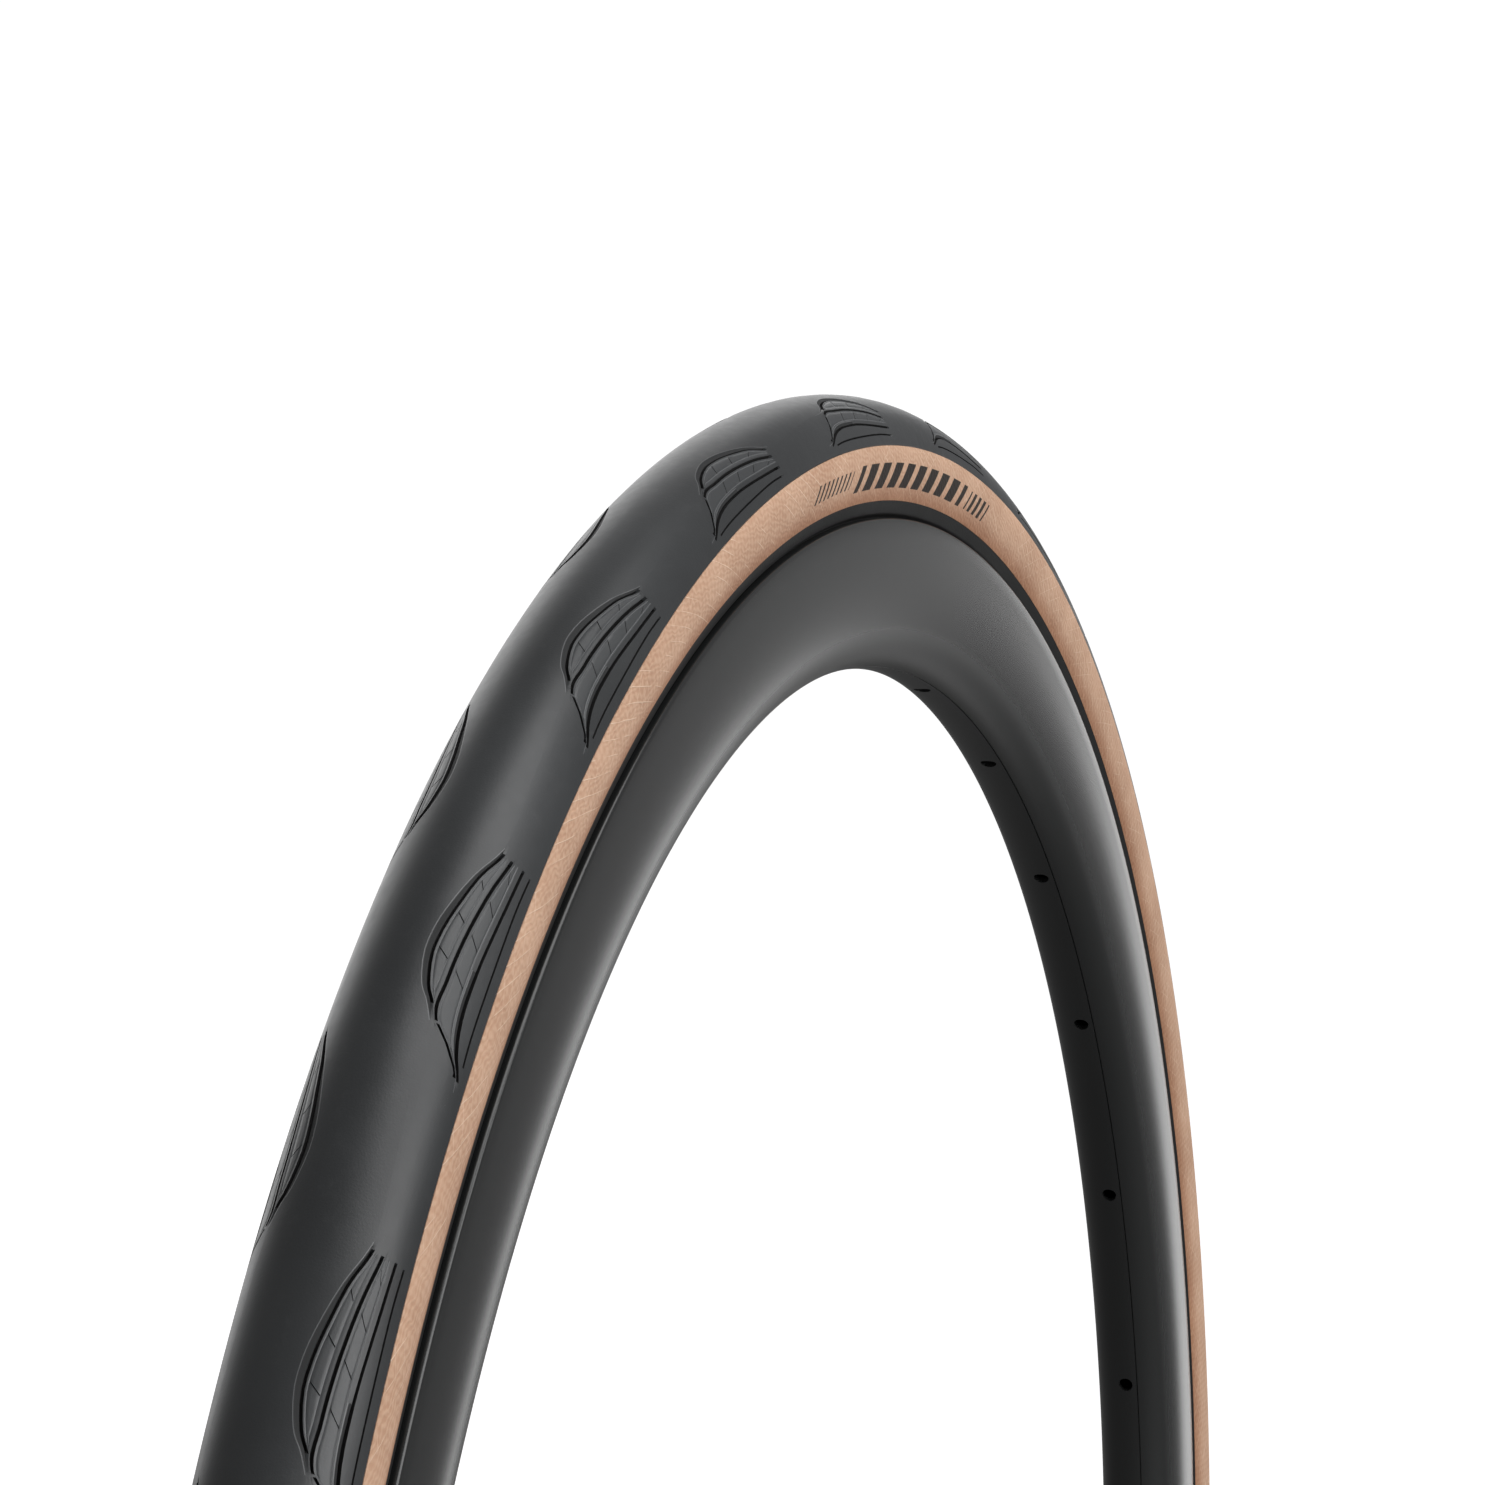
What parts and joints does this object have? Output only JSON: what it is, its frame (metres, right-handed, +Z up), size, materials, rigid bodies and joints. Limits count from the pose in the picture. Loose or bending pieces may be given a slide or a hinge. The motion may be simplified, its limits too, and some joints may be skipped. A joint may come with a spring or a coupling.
{
  "type": "bicycle tyre on rim",
  "caption": "Slick-shouldered road bicycle tyre with tan sidewalls, inflated on a deep hollow rim with rim tape and a tubeless valve.",
  "frame": {"origin": "centre of the wheel, on the wheel axis and in the centre plane of the tyre", "axes": "+Y along the wheel axis, +Z up, the valve points up from the lowest point of the rim"},
  "size_m": [0.68, 0.0274, 0.68],
  "materials": {
    "tread_rubber": "matt, fine moulded grain",
    "tan_skin": "rubberised cotton-like weave, matt",
    "black_rubber": "matt",
    "woven_ply": "coated woven ply",
    "aramid": "yarn bundle",
    "carbon": "satin clear coat over carbon laminate",
    "tape": "smooth adhesive film",
    "brass": "turned",
    "black_metal": "black anodised"
  },
  "bodies": {
    "wheel": {"tread": "tread_rubber", "breaker_strip": "aramid", "casing_ply": "woven_ply", "inner_liner": "black_rubber", "sidewall_skin_near": "tan_skin", "sidewall_skin_far": "tan_skin", "rim_strip_near": "black_rubber", "rim_strip_far": "black_rubber", "bead_core_near": "aramid", "bead_core_far": "aramid", "rim": "carbon", "rim_tape": "tape", "valve_plug": "black_rubber", "valve_stem": "brass", "core_body": "brass"},
    "lock_nut": {"lock_nut_ring": "black_rubber", "lock_nut": "black_metal"},
    "core_pin": {"core_pin": "brass", "core_seal": "black_rubber"},
    "core_nut": {"core_nut": "brass"},
    "dust_cap": {"dust_cap": "black_metal"}
  },
  "joints": [
    {"name": "lock_nut_run", "type": "slide", "parent": "wheel", "child": "lock_nut", "axis": [0, 0, 1], "range_m": [0, 0.017]},
    {"name": "core_pin_press", "type": "slide", "parent": "wheel", "child": "core_pin", "axis": [0, 0, -1], "range_m": [0, 0.0013], "stiffness_N_per_m": 300},
    {"name": "core_nut_turn_down", "type": "slide", "parent": "core_pin", "child": "core_nut", "axis": [0, 0, -1], "range_m": [0, 0.0011]},
    {"name": "dust_cap_off", "type": "slide", "parent": "wheel", "child": "dust_cap", "axis": [0, 0, 1], "range_m": [0, 0.03]}
  ]
}
